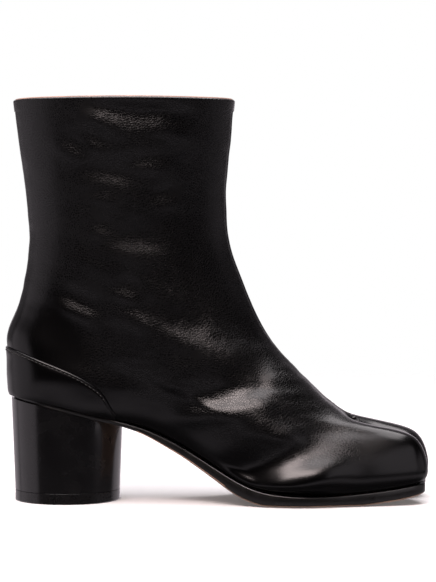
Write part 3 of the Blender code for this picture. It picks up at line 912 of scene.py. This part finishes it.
def makeStitches(name, path, off, material):
    # short tapered stitches along a path of (point, outward direction)
    points = np.array([p for p, _ in path])
    normals = np.array([n for _, n in path])
    points = points + normals * off
    run = np.concatenate([[0.0], np.cumsum(np.linalg.norm(np.diff(points, axis=0), axis=1))])
    count = int(run[-1] / thread["pitch"])
    verts, faces = [], []
    sides = thread["sides"]
    for i in range(count):
        middle = (i + 0.5) * thread["pitch"]
        start = len(verts)
        for share, fat, sink in thread["profile"]:
            at = middle + share * thread["length"]
            centre = polyAt(points, run, [at])[0]
            before, after = polyAt(points, run, [at - thread["aheadBy"], at + thread["aheadBy"]])
            ahead = (after - before) / np.linalg.norm(after - before)
            up = polyAt(normals, run, [at])[0]
            up -= ahead * np.dot(up, ahead)
            up /= np.linalg.norm(up)
            across = np.cross(ahead, up)
            centre = centre + up * (thread["lift"] - sink * thread["radius"])
            for k in range(sides):
                turn = 2.0 * math.pi * k / sides
                verts.append(centre + thread["radius"] * fat
                             * (up * math.sin(turn) + across * math.cos(turn)))
        first, end = endFaces(len(thread["profile"]), sides, start)
        faces += [face[::-1] for face in stackFaces(len(thread["profile"]), sides, start)]
        faces += [first, end[::-1]]
    piece = makePiece(name, verts, faces, [material], corner=1.2)
    print(name, "made:", count, "stitches")


# Leather sole with a blacked edge over natural leather
soleShape = {
    "thick": 0.0073,
    "gap": 0.0005,
    "proud": 0.0005,
    "seatProud": -0.0001,  # tucked under the heel cup
    "seatStop": (0.012, 0.035),
    "chamfer": 0.0006,
    "seatChamfer": 0.00015,  # hardly any round the heel
    "seatChamferStop": (0.015, 0.03),
    "edgeBulge": 0.0001,
    "edgeLift": 0.0013,
    "edgeRoll": 0.0060,
    # the bottom's round edge: shares of edgeRoll inwards and of edgeLift upwards
    "rollProfile": ((1.0, 0.0), (0.55, 0.08), (0.30, 0.28), (0.12, 0.60)),
    "sideColumns": 150,
    "slotColumns": 40,
    "liftFrom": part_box("heel")[1].x,
    "tanStrip": 0.0005,  # bare leather left at the bottom corner of the edge
    "tanFrom": 0.040,  # it shows in the waist only
    "tanTo": 0.090,
    "insoleThick": 0.0020,
    "insoleRound": (0.0005, 0.0006),
    "insolePlay": 0.0009,
}
soleThick = curveThrough(soleAlong, columnOf(soleLine, soleColumns, "thick") * soleShape["thick"])
soleEdge = {
    "colour": (0.0032, 0.0030, 0.0030, 1.0),
    "coat": 0.3,
    "coatRoughness": 0.2,
    "roughness": (0.26, 0.40),
    "cloudScale": 160.0,
    "cloudDetail": 4.0,
    "cloudDepth": 0.0001,
}
bareLeather = {
    "stripColours": ((0.36, 0.22, 0.15, 1.0), (0.27, 0.16, 0.11, 1.0)),
    # the bottom is the same natural leather painted darker than the strip: painted shade under the
    # boot
    "shadedBottomColours": ((0.20, 0.125, 0.085, 1.0), (0.15, 0.095, 0.065, 1.0)),
    "roughness": 0.45,
    "cloudScale": 60.0,
    "fibreScale": 1800.0,
    "fibreDepth": 0.00006,
}


def bareLeatherMaterial(name, colours):
    material, tree, shader = newMaterial(name, Roughness=bareLeather["roughness"])
    place = placeNode(tree)
    addMottle(tree, shader, cloudNode(tree, place, bareLeather["cloudScale"], 6.0), *colours)
    addBump(tree, shader, cloudNode(tree, place, bareLeather["fibreScale"]),
            bareLeather["fibreDepth"], 0.5)
    return material


def levelLoop(loop, at):
    new = loop.copy()
    new[:, 2] = at(new[:, 0])
    return new


def capPoints(loop, at, reach=0.74, shares=(0.125, 0.25, 0.375, 0.5, 0.625, 0.75, 0.875)):
    # points across a flat end, behind the cleft only
    inside = []
    for j in range(2, len(loop) // 2, 3):
        one, other = loop[j], loop[-j]
        if max(one[0], other[0]) > reach * last["toeReach"]:
            continue
        for share in shares:
            x, y = between(one, other, share)[:2]
            inside.append((x, y, float(at(x))))
    return inside


def closedPlate(name, loops, ends, materials, loopMaterials, capMaterials, corner=0.9):
    # a stack of loops closed at both ends, ends gives the rise of the two caps
    count = len(loops[0])
    points = [tuple(p) for loop in loops for p in loop]
    faces = stackFaces(len(loops), count)
    kinds = [kind for kind in loopMaterials for _ in range(count)]
    topStart = (len(loops) - 1) * count
    for loop, at, start, upward, kind in (
            (loops[0], ends[0], 0, False, capMaterials[0]),
            (loops[-1], ends[1], topStart, True, capMaterials[1])):
        inside = capPoints(loop, at)
        extra = len(points)
        flat = [Vector((p[0], p[1])) for p in list(loop) + inside]
        edges = [(j, (j + 1) % count) for j in range(count)]
        _, _, tris, source, _, _ = delaunay_2d_cdt(flat, edges, [], 1, 1e-9)
        for tri in tris:
            kept = [source[v][0] for v in tri]
            face = [start + v if v < count else extra + v - count for v in kept]
            faces.append(face if upward else face[::-1])
            kinds.append(kind)
        points += inside
    return makePiece(name, points, faces, materials, kinds, corner)


def treadRise(x):
    return np.maximum(featherRise(x) - soleShape["gap"] - soleThick(x), 0.0)


def makeOutsole():
    look = soleShape
    outline = shellRing(0.0, sideTurns(look["sideColumns"], evenness=0.3), look["slotColumns"])
    proud = between(look["seatProud"], look["proud"], ramp(outline[:, 0], look["seatStop"]))
    outline = grown(outline, proud[:, None])

    def top(x):
        return featherRise(x) - look["gap"]

    def lift(x):
        return look["edgeLift"] * ease((x - look["liftFrom"]) / (2.0 * look["liftFrom"]))

    def chamfer(x):
        return between(look["seatChamfer"], look["chamfer"], ramp(x, look["seatChamferStop"]))

    def upEdge(share):
        # from the edge's bottom corner to its chamfer
        def at(x):
            low = treadRise(x) + lift(x)
            high = np.maximum(top(x) - chamfer(x), low + 0.5 * chamfer(x))
            return between(low, high, share)
        return at

    def stripTop(x):
        low, high = upEdge(0.0)(x), upEdge(1.0)(x)
        return np.minimum(low + look["tanStrip"], low + 0.5 * (high - low))

    def rolled(share):
        return lambda x: treadRise(x) + share * lift(x)

    loops = [levelLoop(grown(outline, -inwards * look["edgeRoll"]), rolled(share))
             for inwards, share in look["rollProfile"]]
    cutBack = chamfer(outline[:, 0])[:, None]
    loops += [
        levelLoop(grown(outline, -look["edgeBulge"]), upEdge(0.0)),
        levelLoop(outline, stripTop),
        levelLoop(grown(outline, look["edgeBulge"]), upEdge(0.5)),
        levelLoop(outline, upEdge(1.0)),
        levelLoop(grown(outline, -0.3 * cutBack), lambda x: upEdge(1.0)(x) + 0.7 * chamfer(x)),
        levelLoop(grown(outline, -cutBack), top),
    ]
    # the rolled bottom edge and the bottom take the darker bottom colours, natural leather with
    # painted shade
    loopMaterials = [2, 2, 2, 2, 1, 0, 0, 0, 0]
    piece = closedPlate("outsoleLeather", loops, (treadRise, top),
                        [blackEdge, tanLeather, shadedBottomLeather], loopMaterials, (2, 0))
    for face in piece.data.polygons:
        bare = look["tanFrom"] < face.center.x < look["tanTo"]
        if face.material_index == 1 and not bare:
            face.material_index = 0
    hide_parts("outsole")
    print("outsole made")


def makeInsole():
    look = soleShape
    outline = shellRing(0.0, sideTurns(look["sideColumns"], evenness=0.3), look["slotColumns"])
    outline = grown(outline, -(last["wall"] + look["insolePlay"]))
    inwards, down = look["insoleRound"]

    def top(x):
        return featherRise(x) + look["insoleThick"]

    loops = [levelLoop(outline, featherRise), levelLoop(outline, lambda x: top(x) - down),
             levelLoop(grown(outline, -inwards), top)]
    piece = closedPlate("insoleLining", loops, (featherRise, top), [liningLeather], [0, 0], (0, 0))
    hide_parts("insole")
    print("insole made")


# Round covered heel with its wearing piece
heelShape = {
    "radius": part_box("heel")[1].x - 0.0003,
    "footRadius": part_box("top_lift")[1].x,
    "across": 0.955,  # width as share of its length, at its top
    "liftThick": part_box("top_lift")[1].z,
    "liftBevel": 0.0006,
    "edgeSoft": 0.0001,
    "gap": 0.00012,
    "topShift": -0.0004,  # it stands a little further back at its top
    "footShift": -0.0001,
    "columns": 160,
    "rows": 24,
}
heelCover = {
    "colour": (0.0014, 0.0012, 0.0014, 1.0),
    "coat": 0.6,
    "coatRoughness": 0.08,
    "roughness": (0.20, 0.30),
    "cloudScale": 90.0,
    "cloudDetail": 3.0,
    "cloudDepth": 0.00008,
}
liftRubber = {
    "colour": (0.0018, 0.0016, 0.0018, 1.0),
    "coat": 0.5,
    "coatRoughness": 0.10,
    "roughness": (0.24, 0.34),
    "cloudScale": 700.0,
    "cloudDetail": 2.0,
    "cloudDepth": 0.00002,
}


def roundLoop(radius, across, at, share=0.0):
    turn = np.linspace(math.pi, 3.0 * math.pi, heelShape["columns"], endpoint=False)
    x = np.cos(turn) * radius + between(heelShape["footShift"], heelShape["topShift"], share)
    return np.stack([x, np.sin(turn) * radius * across, at(x)], axis=1)


def makeHeel():
    look = heelShape
    foot = look["liftThick"] + look["gap"]

    def seat(x):
        return treadRise(x) - look["gap"]

    loops = []
    for share in np.linspace(0.0, 1.0, look["rows"]):
        radius = between(look["footRadius"], look["radius"], share)
        loops.append(roundLoop(radius, between(1.0, look["across"], share),
                               lambda x: between(foot, seat(x), share), share))
    loops.insert(0, roundLoop(look["footRadius"] - look["edgeSoft"], 1.0,
                              lambda x: foot + 0.0 * x))
    loops[1][:, 2] += look["edgeSoft"]
    piece = closedPlate("heelCover", loops, (lambda x: foot, seat),
                        [polishedMaterial("blackHeelCover", heelCover)],
                        [0] * (len(loops) - 1), (0, 0), corner=0.6)
    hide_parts("heel")
    rises = ((0.0, -look["liftBevel"]), (look["liftBevel"], 0.0),
             (look["liftThick"] - look["edgeSoft"], 0.0), (look["liftThick"], -look["edgeSoft"]))
    loops = [roundLoop(look["footRadius"] + by, 1.0, lambda x, z=z: z + 0.0 * x)
             for z, by in rises]
    piece = closedPlate("topLift", loops, (lambda x: 0.0, lambda x: look["liftThick"]),
                        [polishedMaterial("heelRubber", liftRubber)], [0, 0, 0], (0, 0),
                        corner=0.6)
    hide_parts("top_lift")
    print("heel and top lift made")


edgePath = makeCounter()
makeStitches("heelPanelStitches", edgePath, counterShape["gap"] + counterShape["skin"],
             threadMaterial())
blackEdge = polishedMaterial("blackedSoleEdge", soleEdge)
tanLeather = bareLeatherMaterial("naturalLeatherStrip", bareLeather["stripColours"])
# sole bottom: natural leather in colours darkened with painted shade
shadedBottomLeather = bareLeatherMaterial("soleBottomLeatherPaintedShade", bareLeather["shadedBottomColours"])
makeOutsole()
makeInsole()
makeHeel()

# Floor, light and camera
studio = {
    "floorColour": (0.88, 0.88, 0.88, 1.0),
    "floorGlow": 0.10,  # the table is lit from below too
    "floorRoughness": 0.7,
    "floorFade": 0.45,  # the floor fades into the white air from here
    "floorHalf": 1.1,
    "azimuth": 2.0,  # camera towards the toe from a square side view
    "distance": 1.210,
    "aimAlong": 0.085,
    "cameraRise": 0.1527,
    "sensor": 36.0,
    "pixelsDown": 582,
    "focalPixels": 2141.0,
    "horizonPixel": 229.0,
    "airTint": (1.0, 0.90, 0.97, 1.0),  # in gloss alone, the camera sees it white
    "roomDark": 0.012,
}
# Glow of the air by direction: axis, where it begins and ends, its strength at both
airGlows = {
    "backdrop": ("Y", 0.86, 0.99, 0.0, 1.0),
    "left": ("X", -0.84, -0.90, 0.0, 0.52),
    "right": ("X", 0.90, 0.95, 0.0, 0.34),
    "rightAboveTable": ("Z", -0.14, -0.06, 0.0, 1.0),
    "screenHeight": ("level", 0.25, 0.45, 1.0, 0.0),
    "table": ("Z", -0.16, -0.30, 0.0, 0.50),
    "tableShade": ("Z", -0.34, -0.56, 1.0, 0.12),  # the boot keeps the light off it close by
    "edges": ("Z", -0.09, 0.0, 0.50, 0.16),  # seen in the boot's turned edges
    "edgesBehind": ("Y", 0.42, 0.60, 0.0, 1.0),
}
# name: place, aim, size, strength, colour
softboxes = {
    "overhead": ((0.085, 0.18, 1.5), (0.085, 0.18, 0.0), (1.7, 1.7), 4.6, (1.0, 0.94, 0.96)),
    "keyLight": ((-0.150, -0.860, 1.08), (0.06, 0.0, 0.06), (1.10, 0.50), 11.5,
                 (1.0, 0.86, 0.84)),
    "toeScreen": ((0.238, -0.084, 0.050), (0.185, -0.029, 0.028), (0.090, 0.075), 0.58,
                  (1.0, 0.92, 0.98)),
}


def makeFloor():
    half = studio["floorHalf"]
    mesh = bpy.data.meshes.new("studioFloor")
    mesh.from_pydata([(-half, -half, 0), (half, -half, 0), (half, half, 0), (-half, half, 0)],
                     [], [(0, 1, 2, 3)])
    floor = addObject("studioFloor", mesh)
    material, tree, shader = newMaterial("paleFloor", Base_Color=studio["floorColour"],
                                         Roughness=studio["floorRoughness"],
                                         Emission_Color=(1.0, 1.0, 1.0, 1.0),
                                         Emission_Strength=studio["floorGlow"])
    spot = addNode(tree, "ShaderNodeVectorMath", {"Vector": placeNode(tree)}, operation="LENGTH")
    fade = rangeNode(tree, spot.outputs["Value"], studio["floorFade"], half, 0.0, 1.0)
    clear = tree.nodes.new("ShaderNodeBsdfTransparent")
    both = addNode(tree, "ShaderNodeMixShader", {"Fac": fade})
    tree.links.new(shader.outputs[0], both.inputs[1])
    tree.links.new(clear.outputs[0], both.inputs[2])
    tree.links.new(both.outputs[0], tree.nodes["Material Output"].inputs["Surface"])
    mesh.materials.append(material)
    floor.visible_glossy = False


def makeCamera():
    a = math.radians(studio["azimuth"])
    data = bpy.data.cameras.new("photoCamera")
    data.sensor_width = studio["sensor"]
    data.lens = studio["focalPixels"] * data.sensor_width / studio["pixelsDown"]
    camera = addObject("photoCamera", data)
    x = studio["aimAlong"] * math.cos(a) + studio["distance"] * math.sin(a)
    y = studio["aimAlong"] * math.sin(a) - studio["distance"] * math.cos(a)
    camera.location = (x, y, studio["cameraRise"])
    dip = math.atan((studio["pixelsDown"] / 2 - studio["horizonPixel"]) / studio["focalPixels"])
    camera.rotation_euler = (math.pi / 2 - dip, 0.0, a)
    bpy.context.scene.camera = camera


def makeSoftbox(name, place, aim, size, strength, colour):
    data = bpy.data.lights.new(name, "AREA")
    data.shape = "RECTANGLE"
    data.size, data.size_y = size
    data.energy = strength * math.pi * size[0] * size[1]
    data.color = colour
    lamp = addObject(name, data)
    lamp.location = place
    lamp.rotation_euler = (Vector(aim) - Vector(place)).to_track_quat("-Z", "Y").to_euler()
    lamp.visible_camera = False


def makeAir():
    # dark room in front of the boot, white backdrop behind it, two pale screens at its ends
    world = bpy.data.worlds.new("studioAir")
    world.use_nodes = True
    tree = world.node_tree
    ground = tree.nodes["Background"]
    towards = tree.nodes.new("ShaderNodeTexCoord").outputs["Generated"]
    axes = dict(addNode(tree, "ShaderNodeSeparateXYZ", {"Vector": towards}).outputs.items())
    axes["level"] = mathNode(tree, "ABSOLUTE", axes["Z"])
    glow = {name: rangeNode(tree, axes[axis], *span) for name, (axis, *span) in airGlows.items()}

    def times(a, b):
        return mathNode(tree, "MULTIPLY", a, b)

    def brighter(a, b):
        return mathNode(tree, "MAXIMUM", a, b)

    right = times(glow["right"], glow["rightAboveTable"])
    screens = times(brighter(glow["left"], right), glow["screenHeight"])
    behind = brighter(glow["backdrop"], times(glow["edges"], glow["edgesBehind"]))
    table = brighter(times(glow["table"], glow["tableShade"]), studio["roomDark"])
    glossGlow = brighter(brighter(screens, behind), table)
    seen = tree.nodes.new("ShaderNodeLightPath").outputs["Is Camera Ray"]
    tint = addNode(tree, "ShaderNodeMix", {"Factor": seen}, data_type="RGBA")
    tint.inputs[6].default_value = studio["airTint"]
    tint.inputs[7].default_value = (1.0, 1.0, 1.0, 1.0)
    tree.links.new(tint.outputs[2], ground.inputs["Color"])
    tree.links.new(brighter(seen, glossGlow), ground.inputs["Strength"])
    bpy.context.scene.world = world


makeFloor()
makeCamera()
for name, (place, aim, size, strength, colour) in softboxes.items():
    makeSoftbox(name, place, aim, size, strength, colour)
makeAir()
bpy.context.scene.view_settings.view_transform = "Standard"
print("studio ready")
